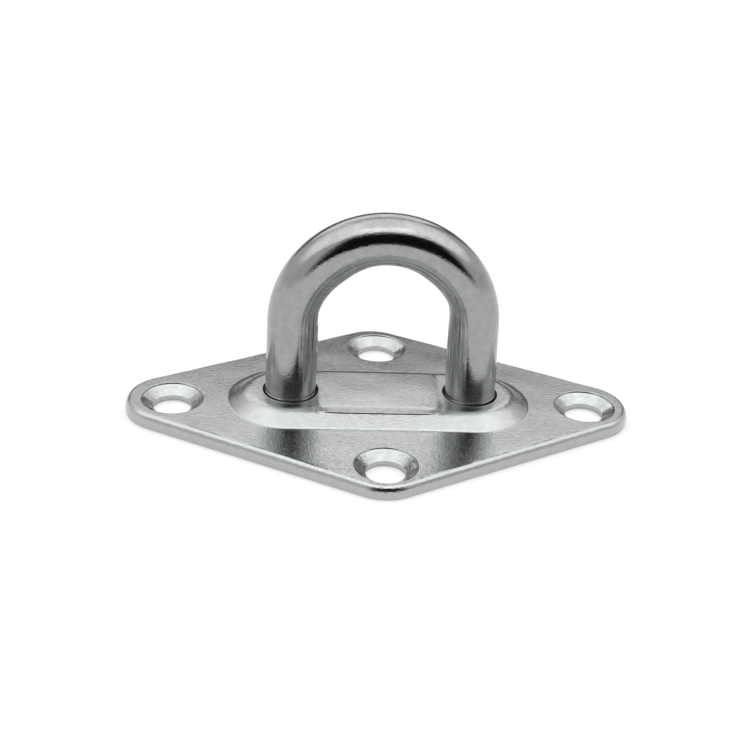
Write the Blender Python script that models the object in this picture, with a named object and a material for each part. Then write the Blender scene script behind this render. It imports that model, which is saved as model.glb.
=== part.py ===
"""Diamond pad eye: a pressed base plate, a bent round-bar eye and two welds.

Metres, +Z up. The origin is the centre of the plate's underside, +X runs along
the plate's long diagonal and the eye stands in the XZ plane.
"""

from math import acos, atan2, cos, hypot, pi, sin

import bmesh
import bpy

MM = 0.001

# Base plate: a diamond with rounded corners.
PLATE_HALF_LENGTH = 40.0 * MM
PLATE_HALF_WIDTH = 25.0 * MM
PLATE_THICKNESS = 2.4 * MM
LONG_CORNER_RADIUS = 7.1 * MM
SHORT_CORNER_RADIUS = 7.0 * MM
TOP_EDGE_RADIUS = 0.75 * MM
BOTTOM_EDGE_RADIUS = 0.2 * MM

# Boss: the stadium that is pressed up out of the plate and is hollow below.
BOSS_TOP = 4.2 * MM
BOSS_HALF_STRAIGHT = 14.7 * MM
BOSS_FOOT_RADIUS = 9.2 * MM
BOSS_TOP_RADIUS = 6.1 * MM
HOLLOW_MOUTH_RADIUS = 8.55 * MM
HOLLOW_ROOF_RADIUS = 5.45 * MM
HOLLOW_DEPTH = BOSS_TOP - PLATE_THICKNESS

# Pad: the low rectangle between the legs.
PAD_TOP = 4.6 * MM
PAD_FOOT = 3.3 * MM
PAD_HALF_LENGTH = 9.4 * MM
PAD_HALF_WIDTH = 6.8 * MM
PAD_CORNER_RADIUS = 1.5 * MM
PAD_EDGE_RADIUS = 0.8 * MM

# Screw holes, countersunk for flat-head screws.
LONG_HOLE_X = 32.85 * MM
SHORT_HOLE_Y = 18.4 * MM
HOLE_RADIUS = 3.05 * MM
COUNTERSINK_RADIUS = 4.95 * MM
LAND_HEIGHT = 1.0 * MM

# Eye: one round bar bent into a U.
BAR_RADIUS = 4.0 * MM
ARCH_HALF_SPAN = 14.05 * MM
ARCH_RISE = 14.3 * MM
SPRING_LINE_Z = 16.1 * MM
LEG_FOOT_X = 14.2 * MM
LEG_FOOT_Z = 0.5 * MM
LEG_CHAMFER = 0.5 * MM

# Gap between pieces that touch.
GAP = 0.3 * MM

# Welds: one ring below the plate round each leg.
WELD_THICKNESS = 0.95 * MM
WELD_WIDTH = 1.4 * MM

# How far a cutter runs past the faces that it opens.
CUTTER_REACH = 1.0 * MM

CORNER_STEPS = 8
END_STEPS = 16
EDGE_STEPS = 4
HOLE_STEPS = 36
ARCH_STEPS = 36
WELD_STEPS = 6
SMOOTH_ANGLE = 0.42


def clear_scene():
    for scene_object in list(bpy.data.objects):
        bpy.data.objects.remove(scene_object, do_unlink=True)


def steel(name, colour, roughness):
    material = bpy.data.materials.new(name)
    material.use_nodes = True
    shader = material.node_tree.nodes["Principled BSDF"]
    shader.inputs["Base Color"].default_value = (*colour, 1.0)
    shader.inputs["Metallic"].default_value = 1.0
    shader.inputs["Roughness"].default_value = roughness
    return material


def arc(centre_x, centre_y, radius, start, end, steps):
    """Points from angle start to angle end, both ends included."""
    angles = [start + (end - start) * step / steps for step in range(steps + 1)]
    return [(centre_x + radius * cos(a), centre_y + radius * sin(a)) for a in angles]


def diamond(inset):
    """The plate's outline, moved inwards by inset."""
    long_centre = PLATE_HALF_LENGTH - LONG_CORNER_RADIUS
    short_centre = PLATE_HALF_WIDTH - SHORT_CORNER_RADIUS
    # The straight side's normal touches both corner circles.
    span = hypot(long_centre, short_centre)
    lean = acos((SHORT_CORNER_RADIUS - LONG_CORNER_RADIUS) / span)
    normal = lean - atan2(short_centre, long_centre)
    long_radius = LONG_CORNER_RADIUS - inset
    short_radius = SHORT_CORNER_RADIUS - inset
    return (
        arc(long_centre, 0, long_radius, -normal, normal, END_STEPS)
        + arc(0, short_centre, short_radius, normal, pi - normal, CORNER_STEPS)
        + arc(-long_centre, 0, long_radius, pi - normal, pi + normal, END_STEPS)
        + arc(0, -short_centre, short_radius, pi + normal, 2 * pi - normal, CORNER_STEPS)
    )


def stadium(radius):
    """The boss's outline, with as many points as the diamond."""
    half = BOSS_HALF_STRAIGHT
    along = [half * (1 - 2 * step / (CORNER_STEPS + 2)) for step in range(1, CORNER_STEPS + 2)]
    return (
        arc(half, 0, radius, -pi / 2, pi / 2, END_STEPS)
        + [(x, radius) for x in along]
        + arc(-half, 0, radius, pi / 2, 3 * pi / 2, END_STEPS)
        + [(-x, -radius) for x in along]
    )


def rounded_rectangle(inset):
    """The pad's outline, moved inwards by inset."""
    x = PAD_HALF_LENGTH - PAD_CORNER_RADIUS
    y = PAD_HALF_WIDTH - PAD_CORNER_RADIUS
    radius = PAD_CORNER_RADIUS - inset
    corners = [(x, y, 0.0), (-x, y, pi / 2), (-x, -y, pi), (x, -y, 3 * pi / 2)]
    points = []
    for corner_x, corner_y, start in corners:
        points += arc(corner_x, corner_y, radius, start, start + pi / 2, CORNER_STEPS)
    return points


def edge_rounding(radius, steps):
    """Pairs of inset and rise along a quarter circle, from the wall to the face."""
    angles = [pi / 2 * step / steps for step in range(steps + 1)]
    return [(radius * (1 - cos(a)), radius * sin(a)) for a in angles]


def add_object(name, mesh, material=None, helper=False):
    mesh.shade_smooth()
    mesh.set_sharp_from_angle(angle=SMOOTH_ANGLE)
    new_object = bpy.data.objects.new(name, mesh)
    bpy.context.scene.collection.objects.link(new_object)
    if material:
        mesh.materials.append(material)
    if helper:
        new_object.hide_render = True
        new_object.display_type = "WIRE"
    return new_object


def loft(name, rings):
    """A closed mesh through rings of (outline, z), with a face at each end."""
    builder = bmesh.new()
    loops = [[builder.verts.new((x, y, z)) for x, y in outline] for outline, z in rings]
    for lower, upper in zip(loops, loops[1:]):
        for index in range(len(lower)):
            following = (index + 1) % len(lower)
            builder.faces.new((lower[index], lower[following], upper[following], upper[index]))
    builder.faces.new(reversed(loops[0]))
    builder.faces.new(loops[-1])
    bmesh.ops.recalc_face_normals(builder, faces=builder.faces)
    mesh = bpy.data.meshes.new(name)
    builder.to_mesh(mesh)
    builder.free()
    return mesh


def turned(name, profile, closed):
    """A mesh turned about Z from (radius, z) pairs, as a ring or with flat ends."""
    builder = bmesh.new()
    turns = [2 * pi * step / HOLE_STEPS for step in range(HOLE_STEPS)]
    loops = [[builder.verts.new((r * cos(a), r * sin(a), z)) for a in turns] for r, z in profile]
    following_loops = loops[1:] + loops[:1] if closed else loops[1:]
    for lower, upper in zip(loops, following_loops):
        for index in range(HOLE_STEPS):
            following = (index + 1) % HOLE_STEPS
            builder.faces.new((lower[index], lower[following], upper[following], upper[index]))
    if not closed:
        builder.faces.new(reversed(loops[0]))
        builder.faces.new(loops[-1])
    bmesh.ops.recalc_face_normals(builder, faces=builder.faces)
    mesh = bpy.data.meshes.new(name)
    builder.to_mesh(mesh)
    builder.free()
    return mesh


def add_boolean(target, other, operation):
    modifier = target.modifiers.new(other.name, "BOOLEAN")
    modifier.operation = operation
    modifier.solver = "EXACT"
    modifier.object = other


def plate_rings():
    """The plate with its boss, from the hollow's roof, round the rim, to the boss's top."""
    rings = [
        (stadium(HOLLOW_ROOF_RADIUS), HOLLOW_DEPTH),
        (stadium(HOLLOW_MOUTH_RADIUS), 0.0),
    ]
    for inset, rise in reversed(edge_rounding(BOTTOM_EDGE_RADIUS, 2)):
        rings.append((diamond(inset), BOTTOM_EDGE_RADIUS - rise))
    for inset, rise in edge_rounding(TOP_EDGE_RADIUS, EDGE_STEPS):
        rings.append((diamond(inset), PLATE_THICKNESS - TOP_EDGE_RADIUS + rise))
    rings.append((stadium(BOSS_FOOT_RADIUS), PLATE_THICKNESS))
    rings.append((stadium(BOSS_TOP_RADIUS), BOSS_TOP))
    return rings


def pad_blank():
    """The pad, sunk into the boss down to PAD_FOOT."""
    rings = [(rounded_rectangle(0.0), PAD_FOOT)]
    for inset, rise in edge_rounding(PAD_EDGE_RADIUS, EDGE_STEPS):
        rings.append((rounded_rectangle(inset), PAD_TOP - PAD_EDGE_RADIUS + rise))
    return add_object("pad_blank", loft("pad_blank", rings), helper=True)


def countersink_profile():
    """From below the plate to above it, with the cone carried on past the top face."""
    slope = (COUNTERSINK_RADIUS - HOLE_RADIUS) / (PLATE_THICKNESS - LAND_HEIGHT)
    return [
        (HOLE_RADIUS, -CUTTER_REACH),
        (HOLE_RADIUS, LAND_HEIGHT),
        (COUNTERSINK_RADIUS + slope * CUTTER_REACH, PLATE_THICKNESS + CUTTER_REACH),
    ]


def leg_hole_profile():
    radius = BAR_RADIUS + GAP
    return [(radius, -CUTTER_REACH), (radius, PAD_TOP + CUTTER_REACH)]


def add_base_plate():
    plate = add_object(
        "base_plate",
        loft("base_plate", plate_rings()),
        steel("plate_steel", (0.62, 0.62, 0.61), 0.28),
    )
    add_boolean(plate, pad_blank(), "UNION")
    hole_places = {
        "right_hole": (LONG_HOLE_X, 0.0),
        "left_hole": (-LONG_HOLE_X, 0.0),
        "back_hole": (0.0, SHORT_HOLE_Y),
        "front_hole": (0.0, -SHORT_HOLE_Y),
    }
    for name, (x, y) in hole_places.items():
        cutter = add_object(name, turned(name, countersink_profile(), closed=False), helper=True)
        cutter.location = (x, y, 0.0)
        add_boolean(plate, cutter, "DIFFERENCE")
    for name, side in (("right_leg_hole", 1), ("left_leg_hole", -1)):
        cutter = add_object(name, turned(name, leg_hole_profile(), closed=False), helper=True)
        cutter.location = (side * LEG_FOOT_X, 0.0, 0.0)
        add_boolean(plate, cutter, "DIFFERENCE")
    return plate


def eye_centre_line():
    """(x, z, share of the bar's radius) from the left foot, over the arch, to the right foot."""
    small_end = 1 - LEG_CHAMFER / BAR_RADIUS
    left = [
        (-LEG_FOOT_X, LEG_FOOT_Z, small_end),
        (-LEG_FOOT_X, LEG_FOOT_Z + LEG_CHAMFER, 1.0),
        (-LEG_FOOT_X, BOSS_TOP, 1.0),
    ]
    arch = []
    for step in range(ARCH_STEPS + 1):
        angle = pi - pi * step / ARCH_STEPS
        x = ARCH_HALF_SPAN * cos(angle)
        z = SPRING_LINE_Z + ARCH_RISE * sin(angle)
        arch.append((x, z, 1.0))
    right = [(-x, z, share) for x, z, share in reversed(left)]
    return left + arch + right


def add_eye_loop():
    curve = bpy.data.curves.new("eye_loop", "CURVE")
    curve.dimensions = "3D"
    curve.bevel_depth = BAR_RADIUS
    curve.bevel_resolution = 10
    curve.use_fill_caps = True
    centre_line = eye_centre_line()
    spline = curve.splines.new("POLY")
    spline.points.add(len(centre_line) - 1)
    spline.use_smooth = True
    for point, (x, z, share) in zip(spline.points, centre_line):
        point.co = (x, 0.0, z, 1.0)
        point.radius = share
    curve.materials.append(steel("eye_steel", (0.56, 0.56, 0.55), 0.2))
    eye = bpy.data.objects.new("eye_loop", curve)
    bpy.context.scene.collection.objects.link(eye)
    return eye


def weld_profile():
    """A bulging ring below the hollow's roof, clear of it and of the leg."""
    inner = BAR_RADIUS + GAP
    half_height = WELD_THICKNESS / 2
    middle = HOLLOW_DEPTH - GAP - half_height
    angles = [pi / 2 * (1 - 2 * step / WELD_STEPS) for step in range(WELD_STEPS + 1)]
    return [(inner + WELD_WIDTH * cos(a), middle + half_height * sin(a)) for a in angles]


def add_weld_bead(name, side):
    mesh = turned(name, weld_profile(), closed=True)
    bead = add_object(name, mesh, steel(name + "_steel", (0.45, 0.44, 0.42), 0.45))
    bead.location = (side * LEG_FOOT_X, 0.0, 0.0)
    return bead


def main():
    clear_scene()
    add_base_plate()
    add_eye_loop()
    add_weld_bead("weld_bead_right", 1)
    add_weld_bead("weld_bead_left", -1)


main()
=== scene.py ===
"""The looks of the diamond pad eye: tumbled and polished stainless steel.

Shapes are worked out in millimetres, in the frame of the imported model, and are
scaled to metres when a mesh is made.
"""

from math import acos, atan2, cos, hypot, pi, radians, sin, tan

import bmesh
import bpy
import numpy as np
from mathutils import Matrix, Vector
from mathutils.geometry import delaunay_2d_cdt


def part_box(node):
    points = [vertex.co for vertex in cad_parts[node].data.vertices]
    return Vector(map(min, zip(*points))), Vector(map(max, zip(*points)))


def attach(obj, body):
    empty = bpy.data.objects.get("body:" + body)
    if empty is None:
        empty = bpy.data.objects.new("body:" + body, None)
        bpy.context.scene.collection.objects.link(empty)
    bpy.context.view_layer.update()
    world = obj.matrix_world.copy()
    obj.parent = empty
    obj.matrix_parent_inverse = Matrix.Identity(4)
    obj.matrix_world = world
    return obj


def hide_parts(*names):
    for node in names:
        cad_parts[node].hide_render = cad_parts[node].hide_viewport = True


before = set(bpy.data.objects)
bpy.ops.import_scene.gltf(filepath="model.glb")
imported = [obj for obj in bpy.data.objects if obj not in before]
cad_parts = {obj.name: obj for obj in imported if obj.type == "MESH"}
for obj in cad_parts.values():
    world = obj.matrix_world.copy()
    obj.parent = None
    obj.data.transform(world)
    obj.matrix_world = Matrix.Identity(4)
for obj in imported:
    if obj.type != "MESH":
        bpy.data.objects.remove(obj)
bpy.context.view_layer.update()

MM = 0.001
PLATE_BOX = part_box("base_plate")
EYE_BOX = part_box("eye_loop")
WELD_BOXES = {side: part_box("weld_bead_" + side) for side in ("left", "right")}

# Base plate.
HALF_LENGTH = PLATE_BOX[1].x / MM
HALF_WIDTH = PLATE_BOX[1].y / MM
THICKNESS = 2.4
LONG_CORNER = 7.1
SHORT_CORNER = 7.0
TOP_EDGE = 0.9
TOP_EDGE_DROP = 1.4
BOTTOM_EDGE = 0.2
# The middles of the corner circles, and the direction that the side between them faces.
LONG_CENTRE = HALF_LENGTH - LONG_CORNER
SHORT_CENTRE = HALF_WIDTH - SHORT_CORNER
SIDE_NORMAL = (
    acos((SHORT_CORNER - LONG_CORNER) / hypot(LONG_CENTRE, SHORT_CENTRE))
    - atan2(SHORT_CENTRE, LONG_CENTRE)
)
# How far the press has let the front and back corners fall below the middle line.
PLATE_CROWN = 0.2
# Long, shallow undulations left by the press: (height, wavelength, direction, phase).
UNDULATIONS = [(0.010, 13.0, 0.3, 0.4), (0.008, 9.0, 1.9, 2.1), (0.006, 6.3, 1.1, 4.0)]

# Boss, as distances from the middle line between its two end centres.
BOSS_TOP = 4.2
BOSS_HALF_STRAIGHT = 14.7
BOSS_SHOULDER = 6.28
BOSS_FOOT = 9.2
HOLLOW_DEPTH = BOSS_TOP - THICKNESS
HOLLOW_ROOF = 5.45
HOLLOW_MOUTH = 8.55

# Pad between the legs. The photo shows it a little lower and longer than the CAD has it.
PAD_BELOW_CAD = 0.15
PAD_TOP = PLATE_BOX[1].z / MM - PAD_BELOW_CAD
PAD_X = -0.4
PAD_HALF_LENGTH = 10.95
PAD_HALF_WIDTH = 7.1
PAD_CORNER = 2.4
PAD_LEAST_CORNER = 0.3
PAD_CROWN = 0.06
# The pad sinks into the boss at its two ends.
PAD_FLAT_HALF_LENGTH = 7.0
PAD_END_FALL = 0.5
# Its wall, as distances outward from its edge: a soft shoulder, then a straight slope.
PAD_SHOULDER = -1.55
PAD_WALL_START = -0.4
PAD_WALL_START_DROP = 0.28
PAD_WALL_SLOPE = radians(60)
PAD_WALL_REACH = 10.0
# How softly the pad's foot runs into the boss, at these heights of the boss.
PAD_BLENDS = ((3.85, 4.15), (0.06, 0.3))

# Screw holes.
LONG_HOLE_X = 32.85
SHORT_HOLE_Y = 18.4
HOLE_RADIUS = 3.05
HOLE_BREAK = 0.25
HOLE_BREAK_HEIGHT = 0.12
COUNTERSINK_RADIUS = 4.87
COUNTERSINK_LIP = 0.2
COUNTERSINK_STEP = 0.26
COUNTERSINK_STEP_LEAN = 0.08
LAND_HEIGHT = 1.0
# The photo shows the pattern a little off the middle of the plate.
PATTERN_X = 0.2
PATTERN_Y = -0.4
BACK_HOLE_X = 0.5
SCREW_HOLES = [
    (PATTERN_X + LONG_HOLE_X, PATTERN_Y),
    (PATTERN_X - LONG_HOLE_X, PATTERN_Y),
    (BACK_HOLE_X, PATTERN_Y + SHORT_HOLE_Y),
    (PATTERN_X, PATTERN_Y - SHORT_HOLE_Y),
]

# Eye.
EYE_ABOVE_CAD = 0.08
EYE_TOP = EYE_BOX[1].z / MM + EYE_ABOVE_CAD
EYE_FOOT = EYE_BOX[0].z / MM
BAR_RADIUS = EYE_BOX[1].y / MM
BAR_END_ROUND = 0.4
ARCH_HALF_SPAN = 14.0
ARCH_RISE = 14.3
SPRING_LINE = EYE_TOP - BAR_RADIUS - ARCH_RISE
# The photo shows the right leg splayed a little more than the left one.
LEG_FOOT_X = (-14.1, 14.52)
LEG_TOP_X = (-ARCH_HALF_SPAN, ARCH_HALF_SPAN)
# The leg is a little thinner near the plate, and widens in a small fillet where it meets it.
COLLAR_LOW = 4.2
COLLAR_HIGH = 4.55
COLLAR_WIDTH = 0.12
NECK_DEPTH = 0.04
NECK_TOP = 8.0
# How far the bender has pushed the inner side of the bar in: (distance along the bar, depth).
INNER_PRESS = [
    (0, 0), (12, 0), (15.4, 0.05), (17, 0.15), (19, 0.2), (21, 0.05), (24, -0.2), (28, -0.5),
    (32, -0.25), (36, 0), (44, 0), (47, -0.13), (49, 0), (51, 0.16), (54, 0.42), (56, 0.5),
    (58, 0.2), (60, 0.16), (66, 0.05), (76, 0),
]
PRESS_STEP = 0.1
PRESS_BLUR = 5.0
# Fine ridges along the bar, rolled into the inner side of the bend. They start and reach
# their full depth at these angles from the bend's outer side, and fade out down the legs.
RIDGE_PITCH = 0.7
RIDGE_DEPTH = 0.06
RIDGES_START = radians(106)
RIDGES_FULL = radians(118)
RIDGES_FOOT = 6.0
RIDGES_FADE = 4.0

# Welds.
WELD_GAP = 0.08
WELD_RIPPLES = 13
WELD_RIPPLE_SHARPNESS = 0.6
WELD_RIPPLE_WIDTH = 0.08
WELD_RIPPLE_HEIGHT = 0.1


def leg_x(foot_x, top_x, height):
    """Where the middle of a straight leg is at this height."""
    lean = (top_x - foot_x) / (SPRING_LINE - EYE_FOOT)
    return foot_x + lean * (height - EYE_FOOT)


# Leg holes.
FOOT_GAP = 0.38
LEG_HOLE_Y = -0.07
LEG_HOLES = [(leg_x(foot, top, BOSS_TOP), LEG_HOLE_Y) for foot, top in zip(LEG_FOOT_X, LEG_TOP_X)]
LEG_HOLE_RADIUS = BAR_RADIUS + FOOT_GAP
LEG_HOLE_LIP = 0.03

# Where the two faces of the plate end: their edges round the holes.
HOLE_TOP_EDGE = COUNTERSINK_RADIUS + COUNTERSINK_LIP
HOLE_BOTTOM_EDGE = HOLE_RADIUS + HOLE_BREAK
LEG_HOLE_EDGE = LEG_HOLE_RADIUS + LEG_HOLE_LIP


# ---------------------------------------------------------------- outlines and profiles


def arc(centre_x, centre_y, radius, start, end, steps):
    """Points from angle start to just before angle end."""
    angles = start + (end - start) * np.arange(steps) / steps
    return np.c_[centre_x + radius * np.cos(angles), centre_y + radius * np.sin(angles)]


def straight(start, end, steps):
    """Points from start to just before end."""
    share = (np.arange(steps) / steps)[:, None]
    return np.array(start) * (1 - share) + np.array(end) * share


def circle(centre, radius, steps):
    return arc(centre[0], centre[1], radius, 0, 2 * pi, steps)


def diamond(inset, corner_steps=28, side_steps=60):
    """The plate's outline moved inwards, anticlockwise from the right corner's lower end."""
    normal = SIDE_NORMAL
    corners = [
        (LONG_CENTRE, 0, LONG_CORNER - inset, -normal, normal),
        (0, SHORT_CENTRE, SHORT_CORNER - inset, normal, pi - normal),
        (-LONG_CENTRE, 0, LONG_CORNER - inset, pi - normal, pi + normal),
        (0, -SHORT_CENTRE, SHORT_CORNER - inset, pi + normal, 2 * pi - normal),
    ]
    points = []
    for index, (x, y, radius, start, end) in enumerate(corners):
        next_x, next_y, next_radius, next_start, _ = corners[(index + 1) % 4]
        leave = (x + radius * cos(end), y + radius * sin(end))
        arrive = (next_x + next_radius * cos(next_start), next_y + next_radius * sin(next_start))
        points += [arc(x, y, radius, start, end, corner_steps), straight(leave, arrive, side_steps)]
    return np.vstack(points)


def stadium(radius, spacing):
    """The boss's outline at this distance from its middle line."""
    half = BOSS_HALF_STRAIGHT
    turn_steps = max(6, round(pi * radius / spacing))
    side_steps = round(2 * half / spacing)
    return np.vstack([
        arc(half, 0, radius, -pi / 2, pi / 2, turn_steps),
        straight((half, radius), (-half, radius), side_steps),
        arc(-half, 0, radius, pi / 2, 3 * pi / 2, turn_steps),
        straight((-half, -radius), (half, -radius), side_steps),
    ])


def pad_outline(inset, spacing):
    """The pad's outline moved inwards, its corners no tighter than PAD_LEAST_CORNER."""
    radius = max(PAD_CORNER - inset, PAD_LEAST_CORNER)
    x = PAD_HALF_LENGTH - PAD_CORNER
    y = PAD_HALF_WIDTH - PAD_CORNER
    x += PAD_CORNER - inset - radius
    y += PAD_CORNER - inset - radius
    corner_steps = max(4, round(pi / 2 * radius / spacing))
    long_steps = round(2 * x / spacing)
    short_steps = round(2 * y / spacing)
    return (PAD_X, 0) + np.vstack([
        arc(x, y, radius, 0, pi / 2, corner_steps),
        straight((x, y + radius), (-x, y + radius), long_steps),
        arc(-x, y, radius, pi / 2, pi, corner_steps),
        straight((-x - radius, y), (-x - radius, -y), short_steps),
        arc(-x, -y, radius, pi, 3 * pi / 2, corner_steps),
        straight((-x, -y - radius), (x, -y - radius), long_steps),
        arc(x, -y, radius, 3 * pi / 2, 2 * pi, corner_steps),
        straight((x + radius, -y), (x + radius, y), short_steps),
    ])


def filleted(corners, steps=8):
    """A polyline through (a, b, fillet radius) corners, each one rounded, as an array of (a, b)."""
    straight_enough = 1.56
    points = [Vector(corners[0][:2])]
    for before, corner, after in zip(corners, corners[1:], corners[2:]):
        here = Vector(corner[:2])
        inward = (Vector(before[:2]) - here).normalized()
        outward = (Vector(after[:2]) - here).normalized()
        half_angle = inward.angle(outward) / 2
        if corner[2] <= 0 or half_angle > straight_enough:
            points.append(here)
            continue
        reach = corner[2] / tan(half_angle)
        middle = here + (inward + outward).normalized() * corner[2] / sin(half_angle)
        start = here + inward * reach - middle
        end = here + outward * reach - middle
        swing = start.angle(end)
        for step in range(steps + 1):
            share = step / steps
            weight_start = sin((1 - share) * swing) / sin(swing)
            weight_end = sin(share * swing) / sin(swing)
            points.append(middle + start * weight_start + end * weight_end)
    points.append(Vector(corners[-1][:2]))
    return np.array([tuple(point) for point in points])


# ---------------------------------------------------------------- the plate's two faces


# Past the plate's edge, where the boss and hollow profiles have long been level.
FAR = 99.0
# Profiles are corners of (distance, height, fillet radius).
BOSS_PROFILE = filleted([
    (0, BOSS_TOP, 0),
    (BOSS_SHOULDER, BOSS_TOP, 3.0),
    (BOSS_FOOT - 0.3, THICKNESS + 0.22, 0.6),
    (BOSS_FOOT, THICKNESS, 0.45),
    (FAR, THICKNESS, 0),
])
PAD_PROFILE = filleted([
    (-9, PAD_TOP, 0),
    (PAD_SHOULDER, PAD_TOP, 3.5),
    (PAD_WALL_START, PAD_TOP - PAD_WALL_START_DROP, 0.2),
    (
        PAD_WALL_START + PAD_WALL_REACH,
        PAD_TOP - PAD_WALL_START_DROP - PAD_WALL_REACH * tan(PAD_WALL_SLOPE),
        0,
    ),
], steps=12)
HOLLOW_PROFILE = filleted([
    (0, HOLLOW_DEPTH, 0),
    (HOLLOW_ROOF, HOLLOW_DEPTH, 0.6),
    (HOLLOW_MOUTH, 0, 1.6),
    (FAR, 0, 0),
])
# From the lip on the top face, down the cone and the land, to the underside.
SCREW_HOLE_PROFILE = filleted([
    (HOLE_TOP_EDGE, THICKNESS, 0),
    (COUNTERSINK_RADIUS, THICKNESS, 0.14),
    (COUNTERSINK_RADIUS - COUNTERSINK_STEP_LEAN, THICKNESS - COUNTERSINK_STEP, 0.08),
    (HOLE_RADIUS, LAND_HEIGHT, 0.12),
    (HOLE_RADIUS, HOLE_BREAK_HEIGHT, 0),
    (HOLE_BOTTOM_EDGE, 0, 0),
], steps=5)
# From the boss's top face to the hollow's roof.
LEG_HOLE_PROFILE = filleted([
    (LEG_HOLE_EDGE, BOSS_TOP, 0),
    (LEG_HOLE_RADIUS, BOSS_TOP, LEG_HOLE_LIP * 0.9),
    (LEG_HOLE_RADIUS, HOLLOW_DEPTH, 0.1),
    (LEG_HOLE_EDGE, HOLLOW_DEPTH, 0),
], steps=4)


def rim_profile():
    """(inset, height) from the top face, round the plate's edge, to the underside."""
    turns = np.linspace(0, pi / 2, 13)
    top = np.c_[
        TOP_EDGE * (1 - np.sin(turns)), THICKNESS - TOP_EDGE_DROP * (1 - np.cos(turns)),
    ]
    bottom = filleted([
        (0, BOTTOM_EDGE + 0.1, 0),
        (0, 0, BOTTOM_EDGE),
        (BOTTOM_EDGE, 0, 0),
    ], steps=5)
    return np.vstack([top, bottom])


def edge_distance(x, y):
    """How far inside the plate's outline each point is."""
    x, y = np.abs(x), np.abs(y)
    facing = x * cos(SIDE_NORMAL) + y * sin(SIDE_NORMAL)
    side = LONG_CENTRE * cos(SIDE_NORMAL) + LONG_CORNER - facing
    # Past a corner circle's tangent point the arc is nearer than the straight side.
    along = -x * sin(SIDE_NORMAL) + y * cos(SIDE_NORMAL)
    long_end = -LONG_CENTRE * sin(SIDE_NORMAL)
    short_end = SHORT_CENTRE * cos(SIDE_NORMAL)
    long_arc = LONG_CORNER - np.hypot(x - LONG_CENTRE, y)
    short_arc = SHORT_CORNER - np.hypot(x, y - SHORT_CENTRE)
    return np.where(along < long_end, long_arc, np.where(along > short_end, short_arc, side))


def hole_distance(x, y):
    """Distance to the middle of the nearest screw hole."""
    return np.min([np.hypot(x - hole_x, y - hole_y) for hole_x, hole_y in SCREW_HOLES], axis=0)


def leg_distance(x, y):
    """Distance to the middle of the nearest leg hole."""
    return np.min([np.hypot(x - hole_x, y - hole_y) for hole_x, hole_y in LEG_HOLES], axis=0)


def middle_line_distance(x, y):
    """Distance to the line between the boss's two end centres."""
    return np.hypot(np.maximum(np.abs(x) - BOSS_HALF_STRAIGHT, 0), y)


def pad_distance(x, y):
    """Signed distance to the pad's edge, negative on the pad."""
    over_x = np.abs(x - PAD_X) - (PAD_HALF_LENGTH - PAD_CORNER)
    over_y = np.abs(y) - (PAD_HALF_WIDTH - PAD_CORNER)
    outside = np.hypot(np.maximum(over_x, 0), np.maximum(over_y, 0))
    return outside + np.minimum(np.maximum(over_x, over_y), 0) - PAD_CORNER


def undulation(x, y):
    """The press's long, shallow waves."""
    total = np.zeros_like(x)
    for height, length, direction, phase in UNDULATIONS:
        along = x * cos(direction) + y * sin(direction)
        total += height * np.sin(2 * pi * along / length + phase)
    return total


def crown(y):
    """How far the press has let the top face fall away from the middle line."""
    return PLATE_CROWN * (y / HALF_WIDTH) ** 2


def smooth_max(a, b, blend):
    """The greater of two heights, with the corner between them rounded."""
    gap = np.maximum(blend - np.abs(a - b), 0) / blend
    return np.maximum(a, b) + gap * gap * blend / 4


def top_height(x, y):
    """The top face: the boss and the pad on the plate."""
    boss = np.interp(middle_line_distance(x, y), BOSS_PROFILE[:, 0], BOSS_PROFILE[:, 1])
    pad = np.interp(pad_distance(x, y), PAD_PROFILE[:, 0], PAD_PROFILE[:, 1])
    pad -= PAD_CROWN * (y / PAD_HALF_WIDTH) ** 2
    past = np.maximum(np.abs(x - PAD_X) - PAD_FLAT_HALF_LENGTH, 0)
    pad -= PAD_END_FALL * (past / (PAD_HALF_LENGTH - PAD_FLAT_HALF_LENGTH)) ** 2
    return smooth_max(boss, pad, np.interp(boss, *PAD_BLENDS)) - crown(y) + undulation(x, y)


def bottom_height(x, y):
    """The underside: flat, with the hollow of the boss."""
    return np.interp(middle_line_distance(x, y), HOLLOW_PROFILE[:, 0], HOLLOW_PROFILE[:, 1])


def on_plate(outline, height):
    """An outline at this height in the plate, which bends with the top face and is flat below."""
    x, y = outline.T
    bend = undulation(x, y) - crown(y)
    return np.c_[outline, height + bend * height / THICKNESS]


# ---------------------------------------------------------------- mesh building


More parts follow.
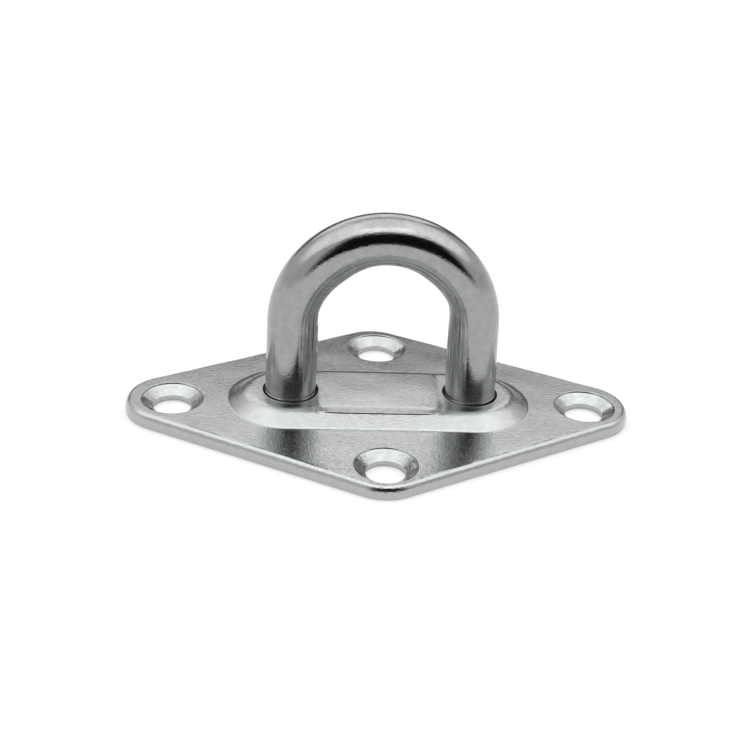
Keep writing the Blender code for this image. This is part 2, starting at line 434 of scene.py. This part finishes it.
class Skin:
    """Points in millimetres and faces, gathered ring by ring and sheet by sheet."""

    def __init__(self):
        self.points = []
        self.faces = []
        self.count = 0

    def add(self, xyz):
        """The indices of new points."""
        self.points.append(np.asarray(xyz, float))
        self.count += len(xyz)
        return np.arange(self.count - len(xyz), self.count)

    def bridge(self, lower, upper):
        """Quads between two closed rings of the same length."""
        quads = np.c_[lower, np.roll(lower, -1), np.roll(upper, -1), upper]
        self.faces += quads.tolist()

    def stack(self, rings):
        """Adds rings of points, each bridged to the one before. Returns the first and the last."""
        first = previous = None
        for points in rings:
            ring = self.add(points)
            if previous is None:
                first = ring
            else:
                self.bridge(previous, ring)
            previous = ring
        return first, previous

    def fan(self, ring, middle):
        """Closes a ring with triangles to a new middle point."""
        tip = self.add([middle])[0]
        for start, end in zip(ring, np.roll(ring, -1)):
            self.faces.append([start, end, tip])

    def sheet(self, rings, inside, keep, height):
        """A triangulated face through ring indices and inside points, where keep(x, y) says so."""
        loops = [np.vstack(self.points)[ring][:, :2] for ring in rings]
        edges = []
        start = 0
        for loop in loops:
            edges += [(start + i, start + (i + 1) % len(loop)) for i in range(len(loop))]
            start += len(loop)
        new = self.add(np.c_[inside, height(inside[:, 0], inside[:, 1])])
        flat = np.vstack(loops + [inside])
        owners = np.concatenate(list(rings) + [new])
        _, _, triangles, origins, _, _ = delaunay_2d_cdt(
            [Vector(point) for point in flat.tolist()], edges, [], 0, 1e-6
        )
        where = np.array([origin[0] for origin in origins])
        triangles = where[np.array(triangles)]
        centres = flat[triangles].mean(axis=1)
        kept = triangles[keep(centres[:, 0], centres[:, 1])]
        self.faces += owners[kept].tolist()

    def make(self, name, unbent=None):
        """A smooth-shaded object. unbent is where each point was before the bar was bent."""
        mesh = bpy.data.meshes.new(name)
        mesh.from_pydata((np.vstack(self.points) * MM).tolist(), [], self.faces)
        builder = bmesh.new()
        builder.from_mesh(mesh)
        bmesh.ops.recalc_face_normals(builder, faces=builder.faces)
        builder.to_mesh(mesh)
        builder.free()
        if unbent is not None:
            layer = mesh.attributes.new("unbent", "FLOAT_VECTOR", "POINT")
            layer.data.foreach_set("vector", (unbent * MM).ravel())
        mesh.shade_smooth()
        piece = bpy.data.objects.new(name, mesh)
        bpy.context.scene.collection.objects.link(piece)
        return piece


def hex_grid(spacing, half_x, half_y):
    """A grid of points in rows that are shifted by turns."""
    rows = np.arange(-half_y, half_y, spacing * 0.866)
    columns = np.arange(-half_x, half_x, spacing)
    x, y = np.meshgrid(columns, rows)
    x[1::2] += spacing / 2
    return np.c_[x.ravel(), y.ravel()]


def spaced(start, end, spacing):
    """Values from start to end, about this far apart."""
    return np.linspace(start, end, max(2, round(abs(end - start) / spacing) + 1))


def thinned(points, least):
    """The points with any that share a small cell with an earlier one left out."""
    cells = np.round(points / least).astype(np.int64)
    _, first = np.unique(cells, axis=0, return_index=True)
    return points[np.sort(first)]


# ---------------------------------------------------------------- the plate


HOLE_STEPS = 120
LEG_HOLE_STEPS = 96

# Points inside a face keep this far from its edges.
EDGE_CLEARANCE = 0.02
# How far from each edge of the top face its extra rings of points lie.
TOP_RIM_RINGS = (0.05, 0.2, 0.5)
TOP_HOLE_RINGS = (0.04, 0.15, 0.4)
TOP_LEG_RINGS = spaced(0.05, 0.9, 0.09)
TOP_LEG_RING_STEPS = 180
# Only the legs' own rings have points this near a leg hole.
LEG_ZONE = 0.95
PAD_RINGS = np.r_[spaced(-0.35, 0, 0.07), spaced(0.04, 0.56, 0.04), spaced(0.62, 2.0, 0.07)]
PAD_RING_SPACING = 0.3
# Only the pad's own rings have points this near its edge.
PAD_ZONE = (-2.05, 0.4)
BOSS_RINGS = np.concatenate([
    spaced(0.4, BOSS_SHOULDER - 1.2, 0.45),
    spaced(BOSS_SHOULDER - 1.1, BOSS_SHOULDER + 1.0, 0.1),
    spaced(BOSS_SHOULDER + 1.1, BOSS_FOOT - 0.5, 0.22),
    spaced(BOSS_FOOT - 0.42, BOSS_FOOT + 0.5, 0.045),
    [BOSS_FOOT + 0.7, BOSS_FOOT + 1.0],
])
BOSS_RING_SPACING = 0.42
TOP_GRID_SPACING = 1.0
TOP_LEAST_SPACING = 0.035

BOTTOM_RIM_RINGS = (0.05, 0.3)
BOTTOM_HOLE_RINGS = (0.04, 0.3)
BOTTOM_LEG_RINGS = (0.04, 0.2)
HOLLOW_RINGS = np.concatenate([
    spaced(0.5, HOLLOW_ROOF - 0.5, 0.6),
    spaced(HOLLOW_ROOF - 0.35, HOLLOW_ROOF + 0.35, 0.08),
    spaced(HOLLOW_ROOF + 0.6, HOLLOW_MOUTH - 0.7, 0.35),
    spaced(HOLLOW_MOUTH - 0.6, HOLLOW_MOUTH + 0.6, 0.1),
])
HOLLOW_RING_SPACING = 0.7
BOTTOM_GRID_SPACING = 1.6
BOTTOM_LEAST_SPACING = 0.05


def top_points():
    """Points of the top face, dense where it curves."""
    sets = [diamond(TOP_EDGE + inset) for inset in TOP_RIM_RINGS]
    for centre in SCREW_HOLES:
        sets += [circle(centre, HOLE_TOP_EDGE + out, HOLE_STEPS) for out in TOP_HOLE_RINGS]
    for centre in LEG_HOLES:
        sets += [circle(centre, LEG_HOLE_EDGE + out, TOP_LEG_RING_STEPS) for out in TOP_LEG_RINGS]
    pads = np.vstack([pad_outline(inset, PAD_RING_SPACING) for inset in PAD_RINGS])
    pads = pads[leg_distance(*pads.T) > LEG_HOLE_EDGE + LEG_ZONE]
    rings = np.vstack([stadium(radius, BOSS_RING_SPACING) for radius in BOSS_RINGS])
    x, y = rings.T
    near_pad = (pad_distance(x, y) > PAD_ZONE[0]) & (pad_distance(x, y) < PAD_ZONE[1])
    near_pad &= np.abs(y) < PAD_HALF_WIDTH + PAD_ZONE[1]
    near_leg = leg_distance(x, y) < LEG_HOLE_EDGE + LEG_ZONE
    grid = hex_grid(TOP_GRID_SPACING, HALF_LENGTH, HALF_WIDTH)
    x, y = grid.T
    clear = edge_distance(x, y) > TOP_EDGE + 0.9
    clear &= hole_distance(x, y) > HOLE_TOP_EDGE + 0.8
    clear &= middle_line_distance(x, y) > BOSS_FOOT + 1.5
    points = np.vstack(sets + [pads, rings[~near_pad & ~near_leg], grid[clear]])
    x, y = points.T
    inside = edge_distance(x, y) > TOP_EDGE + EDGE_CLEARANCE
    inside &= hole_distance(x, y) > HOLE_TOP_EDGE + EDGE_CLEARANCE
    points = thinned(points[inside], TOP_LEAST_SPACING)
    return points[leg_distance(*points.T) > LEG_HOLE_EDGE + EDGE_CLEARANCE]


def bottom_points():
    """Points of the underside, dense where the hollow curves."""
    sets = [diamond(BOTTOM_EDGE + inset) for inset in BOTTOM_RIM_RINGS]
    for centre in SCREW_HOLES:
        sets += [circle(centre, HOLE_BOTTOM_EDGE + out, HOLE_STEPS) for out in BOTTOM_HOLE_RINGS]
    for centre in LEG_HOLES:
        sets += [circle(centre, LEG_HOLE_EDGE + out, LEG_HOLE_STEPS) for out in BOTTOM_LEG_RINGS]
    rings = np.vstack([stadium(radius, HOLLOW_RING_SPACING) for radius in HOLLOW_RINGS])
    rings = rings[leg_distance(*rings.T) > LEG_HOLE_EDGE + 0.3]
    grid = hex_grid(BOTTOM_GRID_SPACING, HALF_LENGTH, HALF_WIDTH)
    x, y = grid.T
    clear = edge_distance(x, y) > BOTTOM_EDGE + 0.8
    clear &= hole_distance(x, y) > HOLE_RADIUS + 1.0
    clear &= middle_line_distance(x, y) > HOLLOW_MOUTH + 1.2
    points = np.vstack(sets + [rings, grid[clear]])
    points = points[edge_distance(*points.T) > BOTTOM_EDGE + EDGE_CLEARANCE]
    points = thinned(points, BOTTOM_LEAST_SPACING)
    clear = leg_distance(*points.T) > LEG_HOLE_EDGE + EDGE_CLEARANCE
    clear &= hole_distance(*points.T) > HOLE_BOTTOM_EDGE + EDGE_CLEARANCE
    return points[clear]


def on_top_face(x, y):
    return (hole_distance(x, y) > HOLE_TOP_EDGE) & (leg_distance(x, y) > LEG_HOLE_EDGE)


def on_underside(x, y):
    return (hole_distance(x, y) > HOLE_BOTTOM_EDGE) & (leg_distance(x, y) > LEG_HOLE_EDGE)


def leg_hole_rings(centre):
    """A leg's hole, whose first ring lies on the top face."""
    rings = []
    for radius, height in LEG_HOLE_PROFILE:
        outline = circle(centre, radius, LEG_HOLE_STEPS)
        rings.append(np.c_[outline, np.full(LEG_HOLE_STEPS, height)])
    x, y = rings[0][:, :2].T
    rings[0][:, 2] = top_height(x, y)
    return rings


def make_plate():
    """The pressing: its rim and the walls of its holes, then its two faces between them."""
    skin = Skin()
    edges = [skin.stack(on_plate(diamond(inset), height) for inset, height in rim_profile())]
    for centre in SCREW_HOLES:
        edges.append(skin.stack(
            on_plate(circle(centre, radius, HOLE_STEPS), height)
            for radius, height in SCREW_HOLE_PROFILE
        ))
    for centre in LEG_HOLES:
        edges.append(skin.stack(leg_hole_rings(centre)))
    top_edges, bottom_edges = zip(*edges)
    skin.sheet(top_edges, top_points(), on_top_face, top_height)
    skin.sheet(bottom_edges, bottom_points(), on_underside, bottom_height)
    return skin.make("plate_pressing")


# ---------------------------------------------------------------- the eye


EYE_STEPS = 208
ARCH_STEPS = 180
LEG_SPACING = 0.4
COLLAR_SPACING = 0.04


def eye_path():
    """Centre line points (x, z) from the left foot to the right foot."""
    angles = np.linspace(pi, 0, ARCH_STEPS + 1)
    arch = np.c_[ARCH_HALF_SPAN * np.cos(angles), SPRING_LINE + ARCH_RISE * np.sin(angles)]
    heights = np.unique(np.concatenate([
        EYE_FOOT + np.linspace(0, BAR_END_ROUND, 5),
        spaced(EYE_FOOT + BAR_END_ROUND, COLLAR_LOW - 0.3, LEG_SPACING),
        [COLLAR_LOW - COLLAR_SPACING],
        spaced(COLLAR_LOW, COLLAR_HIGH, COLLAR_SPACING),
        spaced(COLLAR_HIGH + 0.1, SPRING_LINE, LEG_SPACING),
    ]))
    left_leg, right_leg = (
        np.c_[leg_x(foot_x, top_x, heights), heights] for foot_x, top_x in zip(LEG_FOOT_X, LEG_TOP_X)
    )
    return np.vstack([left_leg[:-1], arch, right_leg[::-1][1:]])


def bar_radii(height, from_end):
    """The bar's radius at points along it: rounded ends, a collar at the plate and a thin neck."""
    radius = BAR_RADIUS - np.maximum(BAR_END_ROUND - from_end, 0) ** 2 / BAR_END_ROUND
    collar = np.clip((COLLAR_HIGH - height) / (COLLAR_HIGH - COLLAR_LOW), 0, 1) ** 2
    collar[height < COLLAR_LOW - COLLAR_SPACING / 2] = 0
    neck = np.clip((NECK_TOP - height) / (NECK_TOP - COLLAR_HIGH), 0, 1)
    return radius + COLLAR_WIDTH * collar - NECK_DEPTH * neck


def pressed_in(length):
    """How far the bender has pushed the inner side in, at these distances along the bar."""
    every = np.arange(0, length[-1], PRESS_STEP)
    window = np.hanning(PRESS_BLUR / PRESS_STEP + 1)
    pressed = np.convolve(np.interp(every, *zip(*INNER_PRESS)), window / window.sum(), "same")
    return np.interp(length, every, pressed)


def make_eye():
    """The bar, swept along its path with a round section that the bender has marked."""
    path = eye_path()
    height = path[:, 1]
    length = np.r_[0, np.cumsum(np.hypot(*np.diff(path, axis=0).T))]
    tangent = np.gradient(path, length, axis=0)
    tangent /= np.linalg.norm(tangent, axis=1)[:, None]
    around = 2 * pi * np.arange(EYE_STEPS) / EYE_STEPS
    # The angle from the bend's outer side, 0 to pi.
    inwards = np.minimum(around, 2 * pi - around)
    ridges = 0.5 - 0.5 * np.cos(2 * pi * (inwards - RIDGES_START) * BAR_RADIUS / RIDGE_PITCH)
    ridges *= RIDGE_DEPTH * np.interp(inwards, [RIDGES_START, RIDGES_FULL], [0, 1])
    ridged = np.interp(height, [RIDGES_FOOT, RIDGES_FOOT + RIDGES_FADE], [0, 1])
    radius = bar_radii(height, np.minimum(length, length[-1] - length))
    # From here on each array has a row for each point of the path.
    radius = radius[:, None] - ridged[:, None] * ridges
    across = radius * np.cos(around)
    across += pressed_in(length)[:, None] * np.clip(-np.cos(around), 0, 1) ** 2
    sideways = radius * np.sin(around)
    x = path[:, :1] - tangent[:, 1:] * across
    z = path[:, 1:] + tangent[:, :1] * across
    along = np.broadcast_to(length[:, None], across.shape)
    skin = Skin()
    first, last = skin.stack(np.stack([x, sideways, z], axis=2))
    unbent = list(np.stack([along, across, sideways], axis=2))
    skin.fan(first, (path[0, 0], 0, path[0, 1]))
    skin.fan(last, (path[-1, 0], 0, path[-1, 1]))
    unbent.append([(0, 0, 0), (length[-1], 0, 0)])
    return skin.make("eye_bar", np.vstack(unbent))


# ---------------------------------------------------------------- the welds


WELD_STEPS = 220
WELD_SECTION_STEPS = 16


def make_weld(side):
    """A rippled ring with a half-round section, flat towards the leg."""
    low, high = (corner / MM for corner in WELD_BOXES[side])
    centre = (low + high) / 2
    outer = (high.x - low.x) / 2
    inner = BAR_RADIUS + WELD_GAP
    half_height = (high.z - low.z) / 2
    turns = 2 * pi * np.arange(WELD_STEPS) / WELD_STEPS
    ripple = np.abs(np.sin(WELD_RIPPLES * turns)) ** WELD_RIPPLE_SHARPNESS
    width = (outer - inner) * (1 - WELD_RIPPLE_WIDTH + WELD_RIPPLE_WIDTH * ripple)
    rise = half_height * (1 - WELD_RIPPLE_HEIGHT + WELD_RIPPLE_HEIGHT * ripple)
    rings = []
    for angle in np.linspace(pi / 2, -pi / 2, WELD_SECTION_STEPS + 1):
        radius = inner + width * cos(angle)
        rings.append(np.c_[
            centre.x + radius * np.cos(turns), radius * np.sin(turns), centre.z + rise * sin(angle),
        ])
    skin = Skin()
    first, last = skin.stack(rings)
    skin.bridge(last, first)
    return skin.make("weld_ring_" + side)


# ---------------------------------------------------------------- materials


# (feature size, height) in millimetres.
PLATE_GRAIN = (0.25, 0.03)
PLATE_PITS = (0.2, 0.010)
BAR_GRAIN = (0.28, 0.013)
WELD_GRAIN = (0.3, 0.03)
# The directions of the strokes that tumbling leaves.
STROKE_TURNS = (0.5, 1.9, 2.8)
# The photo shows less grain on the pad and on the middle of the plate behind it.
SMOOTHED_X = (24 * MM, 12 * MM)
SMOOTHED_Y = (-7 * MM, -6 * MM)
SMOOTHED_GRAIN = 0.7
# Turning marks in the countersinks: rings of this width, broken up over this length.
TURNING_WIDTH = 0.16
TURNING_LENGTH = 0.9
TURNING_DEPTH = 0.05
TURNED_GRAIN = 0.4
TURNED_RADII = (COUNTERSINK_RADIUS * MM, (COUNTERSINK_RADIUS - 0.2) * MM)
TURNED_HEIGHTS = (0.5 * MM, LAND_HEIGHT * MM)
# Fine lines along the bar, deeper on the inner side of the bend.
DRAWN_WIDTH = 0.25
DRAWN_ACROSS = (-2.2 * MM, -3.2 * MM)
DRAWN_DEPTHS = (0.012, 0.05)
# The weld has dulled a ring of the plate round each leg, and the foot of each leg.
DULLED_PLATE_RADII = (6.2 * MM, 3.6 * MM)
DULLED_PLATE = 0.28
DULLED_BAR_HEIGHTS = (12 * MM, 5 * MM)
DULLED_BAR = 0.14
# The steel itself.
STEEL_TINT = (0.968, 0.988, 1.0)
CLOUD_SIZE = 6.0
BLOTCH_SIZE = 1.1
SPECK_SIZE = 0.08


class Graph:
    """Short calls for building a node tree."""

    def __init__(self, tree):
        self.tree = tree

    def node(self, kind, inputs=None, **settings):
        """A new node, with each input linked or set."""
        new_node = self.tree.nodes.new(kind)
        for name, value in settings.items():
            setattr(new_node, name, value)
        for name, value in (inputs or {}).items():
            if isinstance(value, bpy.types.NodeSocket):
                self.tree.links.new(value, new_node.inputs[name])
            else:
                new_node.inputs[name].default_value = value
        return new_node

    def math(self, operation, *values):
        return self.node("ShaderNodeMath", dict(enumerate(values)), operation=operation).outputs[0]

    def vector(self, operation, *values):
        inputs = dict(enumerate(values))
        return self.node("ShaderNodeVectorMath", inputs, operation=operation).outputs

    def axes(self, vector):
        """The X, Y and Z of a vector."""
        return tuple(self.node("ShaderNodeSeparateXYZ", {"Vector": vector}).outputs)

    def mix(self, factor, a, b):
        return self.node("ShaderNodeMix", {"Factor": factor, "A": a, "B": b}).outputs["Result"]

    def ramp(self, value, start, end, low=0.0, high=1.0):
        """Goes smoothly from low to high as the value goes from start to end."""
        return self.node("ShaderNodeMapRange", {
            "Value": value, "From Min": start, "From Max": end, "To Min": low, "To Max": high,
        }, interpolation_type="SMOOTHSTEP").outputs["Result"]

    def noise(self, where, size, detail=3.0, roughness=0.5):
        """Noise with this feature size in millimetres, mostly between 0.3 and 0.7."""
        return self.node("ShaderNodeTexNoise", {
            "Vector": where, "Scale": 1 / (size * MM), "Detail": detail, "Roughness": roughness,
        }).outputs["Fac"]

    def nearest(self, where, centres):
        """The level distance to the nearest of these (x, y) centres."""
        flat = self.vector("MULTIPLY", where, (1, 1, 0))[0]
        away = None
        for x, y in centres:
            distance = self.vector("DISTANCE", flat, (x * MM, y * MM, 0))["Value"]
            away = distance if away is None else self.math("MINIMUM", away, distance)
        return away

    def stretched(self, where, scale, turn=(0.0, 0.0, 0.0)):
        """Coordinates turned and then scaled, so that what is drawn with them is stretched."""
        turned = self.node("ShaderNodeMapping", {"Vector": where, "Rotation": turn}).outputs["Vector"]
        return self.node("ShaderNodeMapping", {"Vector": turned, "Scale": scale}).outputs["Vector"]


def new_material(name):
    material = bpy.data.materials.new(name)
    material.use_nodes = True
    graph = Graph(material.node_tree)
    return material, graph, material.node_tree.nodes["Principled BSDF"]


def steel(name, tone, mottle, roughness, haze, relief, dulled=None):
    """Stainless steel.

    tone is its linear grey, which goes up and down by the share mottle in small
    blotches. Its surface has this roughness, with small specks as rough as haze,
    which lay a haze over the reflections. relief(graph, where) gives its height in
    millimetres, and dulled(graph, where) gives roughness to add.
    """
    material, graph, shader = new_material(name)
    where = graph.node("ShaderNodeTexCoord").outputs["Object"]
    dark = tuple(Vector(STEEL_TINT) * tone * (1 - mottle)) + (1,)
    light = tuple(Vector(STEEL_TINT) * tone * (1 + mottle)) + (1,)
    blotches = graph.ramp(graph.noise(where, BLOTCH_SIZE, 4.0, 0.65), 0.35, 0.65)
    tint = graph.node("ShaderNodeMix", {"Factor": blotches, "A": dark, "B": light}, data_type="RGBA")
    graph.tree.links.new(tint.outputs["Result"], shader.inputs["Base Color"])
    wear = graph.ramp(graph.noise(where, CLOUD_SIZE), 0.3, 0.7, -0.02, 0.02)
    specks = graph.ramp(graph.noise(where, SPECK_SIZE, 1.0), 0.5, 0.7, roughness, haze)
    rough = graph.math("ADD", wear, specks)
    if dulled:
        rough = graph.math("ADD", rough, dulled(graph, where))
    graph.tree.links.new(rough, shader.inputs["Roughness"])
    bump = graph.node("ShaderNodeBump", {
        "Height": relief(graph, where), "Strength": 1.0, "Distance": MM,
    })
    graph.tree.links.new(bump.outputs["Normal"], shader.inputs["Normal"])
    shader.inputs["Metallic"].default_value = 1.0
    return material


def tumbled_grain(graph, where, size, height):
    """Short strokes in every direction over a fine speckle, as tumbling with stones leaves."""
    grain = graph.noise(where, size, 2.0, 0.6)
    for turn in STROKE_TURNS:
        along = graph.stretched(where, (0.45, 1.0, 1.0), (0.0, 0.0, turn))
        grain = graph.math("MULTIPLY_ADD", graph.noise(along, size * 0.7, 1.0), 0.5, grain)
    return graph.math("MULTIPLY", grain, height)


def pits(graph, where, size, depth):
    """Sparse small dents with steep sides, which glint."""
    dents = graph.ramp(graph.noise(where, size, 1.0), 0.60, 0.74)
    return graph.math("MULTIPLY", dents, depth)


def plate_relief(graph, where):
    """Tumbled grain, and turning marks in the countersinks."""
    x, y, height = graph.axes(where)
    radius = graph.nearest(where, SCREW_HOLES)
    grain = graph.math(
        "ADD", tumbled_grain(graph, where, *PLATE_GRAIN), pits(graph, where, *PLATE_PITS)
    )
    smoothed = graph.math(
        "MULTIPLY",
        graph.ramp(graph.math("ABSOLUTE", x), *SMOOTHED_X),
        graph.ramp(y, *SMOOTHED_Y),
    )
    grain = graph.math("MULTIPLY", grain, graph.mix(smoothed, 1.0, SMOOTHED_GRAIN))
    rings = graph.node("ShaderNodeCombineXYZ", {"X": radius, "Z": height}).outputs[0]
    broken = graph.ramp(graph.noise(where, TURNING_LENGTH, 1.0), 0.35, 0.6, 0.35, 1.0)
    marks = graph.math("MULTIPLY", graph.noise(rings, TURNING_WIDTH, 2.0, 0.7), broken)
    turned = graph.math(
        "MULTIPLY", graph.ramp(radius, *TURNED_RADII), graph.ramp(height, *TURNED_HEIGHTS)
    )
    grain = graph.math("MULTIPLY", grain, graph.mix(turned, 1.0, TURNED_GRAIN))
    return graph.math("MULTIPLY_ADD", graph.math("MULTIPLY", marks, turned), TURNING_DEPTH, grain)


def bar_relief(graph, where):
    """Tumbled grain, and fine lines along the bar."""
    unbent = graph.node("ShaderNodeAttribute", attribute_name="unbent").outputs["Vector"]
    drawn = graph.noise(graph.stretched(unbent, (0.03, 1.0, 1.0)), DRAWN_WIDTH, 2.0, 0.6)
    _, across, _ = graph.axes(unbent)
    depth = graph.ramp(across, *DRAWN_ACROSS, *DRAWN_DEPTHS)
    grain = tumbled_grain(graph, where, *BAR_GRAIN)
    return graph.math("ADD", graph.math("MULTIPLY", drawn, depth), grain)


def weld_relief(graph, where):
    return tumbled_grain(graph, where, *WELD_GRAIN)


def plate_dulled(graph, where):
    return graph.ramp(graph.nearest(where, LEG_HOLES), *DULLED_PLATE_RADII, 0.0, DULLED_PLATE)


def bar_dulled(graph, where):
    _, _, height = graph.axes(where)
    return graph.ramp(height, *DULLED_BAR_HEIGHTS, 0.0, DULLED_BAR)


# ---------------------------------------------------------------- studio


CAMERA_TARGET = Vector((-0.836, 0.0, 7.021)) * MM
CAMERA_AZIMUTH = radians(-4.306)
CAMERA_ELEVATION = radians(29.051)
CAMERA_ROLL = radians(3.36)
CAMERA_DISTANCE = 238.96 * MM
CAMERA_LENS = 72.69

FLOOR_SIZE = 12.0
FLOOR_BELOW = 0.0001
FLOOR_TONE = 0.45
FLOOR_GLOW = 0.52

# Radiance of each part of the studio, where 1 is paper white.
OVERHEAD_LIGHT = 2.6
OVERHEAD_END_LIGHT = 1.75
ZENITH_LIGHT = 1.58
UPPER_BACK_LIGHT = 1.5
BACK_PANEL_LIGHT = 1.36
BACK_LIGHT = 0.16
SIDE_LIGHT = 0.85
SIDE_LIGHT_NEAR_DARK = SIDE_LIGHT * 0.9
DARK_LIGHT = 0.01
# Where one part gives way to the next. The walls are told apart by how nearly a level
# direction points at the dark side or at the back, and the overhead by its direction's
# own axes, each as a cosine.
DARK_AZIMUTH = radians(171)
SIDE_FADE = (-0.1, 0.45)
DARK_FADE = (0.62, 0.82)
BACK_FADE = (0.66, 0.87)
OVERHEAD_END_FADE = (0.2, 0.5)
ZENITH_FADE = (0.90, 0.99)
UPPER_BACK_FADE = (0.0, 0.4)
OVERHEAD_SIDE_FADE = (0.72, 0.90)
OVERHEAD_HEIGHT_FADE = (0.25, 0.6)

BACK_PANEL_DISTANCE = 0.2
BACK_PANEL_BOTTOM = 0.111
BACK_PANEL_TOP = 0.256
BACK_PANEL_LEFT = -0.18
BACK_PANEL_RIGHT = 0.13


def add_camera():
    """At the photo's viewing angle."""
    camera = bpy.data.cameras.new("camera")
    camera.lens = CAMERA_LENS
    camera.sensor_width = 36.0
    camera.clip_start = 0.01
    camera.clip_end = 50.0
    holder = bpy.data.objects.new("camera", camera)
    bpy.context.scene.collection.objects.link(holder)
    flat = cos(CAMERA_ELEVATION)
    back = Vector((
        sin(CAMERA_AZIMUTH) * flat, -cos(CAMERA_AZIMUTH) * flat, sin(CAMERA_ELEVATION),
    ))
    right = Vector((0, 0, 1)).cross(back).normalized()
    up = back.cross(right)
    turned_right = right * cos(CAMERA_ROLL) + up * sin(CAMERA_ROLL)
    turned_up = up * cos(CAMERA_ROLL) - right * sin(CAMERA_ROLL)
    turn = Matrix((turned_right, turned_up, back)).transposed()
    holder.matrix_world = Matrix.Translation(CAMERA_TARGET + back * CAMERA_DISTANCE) @ turn.to_4x4()
    bpy.context.scene.camera = holder


def add_floor():
    """Pale paper just under the object, with a glow that keeps it white to the camera."""
    bpy.ops.mesh.primitive_plane_add(size=FLOOR_SIZE, location=(0, 0, -FLOOR_BELOW))
    floor = bpy.context.object
    floor.name = "floor"
    paper, _, shader = new_material("floor_paper")
    shader.inputs["Base Color"].default_value = (FLOOR_TONE, FLOOR_TONE, FLOOR_TONE, 1)
    shader.inputs["Roughness"].default_value = 0.9
    shader.inputs["Specular IOR Level"].default_value = 0.0
    shader.inputs["Emission Color"].default_value = (1, 1, 1, 1)
    shader.inputs["Emission Strength"].default_value = FLOOR_GLOW
    floor.data.materials.append(paper)


def add_back_panel():
    """A softbox standing close behind the object, seen only in reflections."""
    width = BACK_PANEL_RIGHT - BACK_PANEL_LEFT
    height = BACK_PANEL_TOP - BACK_PANEL_BOTTOM
    light = bpy.data.lights.new("back_panel", "AREA")
    light.shape = "RECTANGLE"
    light.size = width
    light.size_y = height
    light.energy = BACK_PANEL_LIGHT * pi * width * height
    panel = bpy.data.objects.new("back_panel", light)
    middle_x = (BACK_PANEL_LEFT + BACK_PANEL_RIGHT) / 2
    middle_z = (BACK_PANEL_BOTTOM + BACK_PANEL_TOP) / 2
    panel.location = (middle_x, BACK_PANEL_DISTANCE, middle_z)
    # An area light shines along its own -Z, which this turns towards -Y.
    panel.rotation_euler = (-pi / 2, 0, 0)
    panel.visible_camera = False
    bpy.context.scene.collection.objects.link(panel)


def studio_walls(graph, direction):
    """Grey side walls, a dim back wall, and the dark side that the camera stands on."""
    _, y, z = graph.axes(direction)
    # The length of the direction's level part, which is never quite 0.
    level = graph.math("SQRT", graph.math("SUBTRACT", 1.0001, graph.math("MULTIPLY", z, z)))
    dark_side = (sin(DARK_AZIMUTH), cos(DARK_AZIMUTH), 0.0)
    toward_dark = graph.vector("DOT_PRODUCT", direction, dark_side)["Value"]
    toward_dark = graph.math("DIVIDE", toward_dark, level)
    toward_back = graph.math("DIVIDE", y, level)
    sides = graph.ramp(toward_dark, *SIDE_FADE, SIDE_LIGHT, SIDE_LIGHT_NEAR_DARK)
    walls = graph.mix(graph.ramp(toward_dark, *DARK_FADE), sides, DARK_LIGHT)
    return graph.mix(graph.ramp(toward_back, *BACK_FADE), walls, BACK_LIGHT)


def overhead_softbox(graph, direction):
    """Long from left to right, and dimmer towards its ends, its middle and its back."""
    x, y, z = graph.axes(direction)
    from_middle = graph.math("ABSOLUTE", x)
    ends = graph.ramp(from_middle, *OVERHEAD_END_FADE, OVERHEAD_LIGHT, OVERHEAD_END_LIGHT)
    light = graph.mix(graph.ramp(z, *ZENITH_FADE), ends, ZENITH_LIGHT)
    return graph.mix(graph.ramp(y, *UPPER_BACK_FADE), light, UPPER_BACK_LIGHT)


def overhead_cover(graph, direction):
    """1 where a direction points at the overhead softbox and 0 where it points at the walls."""
    _, _, z = graph.axes(direction)
    from_the_side = graph.vector("MULTIPLY", direction, (0, 1, 1))[0]
    from_the_side = graph.vector("NORMALIZE", from_the_side)[0]
    _, _, above = graph.axes(from_the_side)
    return graph.math(
        "MULTIPLY", graph.ramp(above, *OVERHEAD_SIDE_FADE), graph.ramp(z, *OVERHEAD_HEIGHT_FADE)
    )


def add_world():
    """The studio that the steel reflects. The camera itself sees plain white."""
    world = bpy.data.worlds.new("studio")
    world.use_nodes = True
    bpy.context.scene.world = world
    world.node_tree.nodes.clear()
    graph = Graph(world.node_tree)
    direction = graph.node("ShaderNodeTexCoord").outputs["Generated"]
    studio = graph.mix(
        overhead_cover(graph, direction),
        studio_walls(graph, direction),
        overhead_softbox(graph, direction),
    )
    camera_ray = graph.node("ShaderNodeLightPath").outputs["Is Camera Ray"]
    background = graph.node("ShaderNodeBackground", {
        "Color": (1, 1, 1, 1), "Strength": graph.mix(camera_ray, studio, 1.0),
    })
    output = graph.node("ShaderNodeOutputWorld")
    graph.tree.links.new(background.outputs[0], output.inputs["Surface"])


# ---------------------------------------------------------------- the scene


def add_pieces():
    """The four finer pieces, each in place of its CAD node."""
    finishes = {
        "plate_steel": steel(
            "tumbled_steel", tone=0.455, mottle=0.03, roughness=0.085, haze=0.27,
            relief=plate_relief, dulled=plate_dulled,
        ),
        "eye_steel": steel(
            "polished_steel", tone=0.345, mottle=0.06, roughness=0.07, haze=0.17,
            relief=bar_relief, dulled=bar_dulled,
        ),
        "weld_steel": steel(
            "weld_steel", tone=0.38, mottle=0.1, roughness=0.32, haze=0.5, relief=weld_relief,
        ),
    }
    pieces = [(make_plate(), "base_plate", "plate_steel"), (make_eye(), "eye_loop", "eye_steel")]
    for side in WELD_BOXES:
        pieces.append((make_weld(side), "weld_bead_" + side, "weld_steel"))
    for piece, node_name, slot in pieces:
        piece.data.materials.append(finishes[slot])
        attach(piece, "root")
        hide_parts(node_name)


def main():
    bpy.context.scene.view_settings.view_transform = "Standard"
    add_camera()
    add_floor()
    add_world()
    add_back_panel()
    add_pieces()


main()
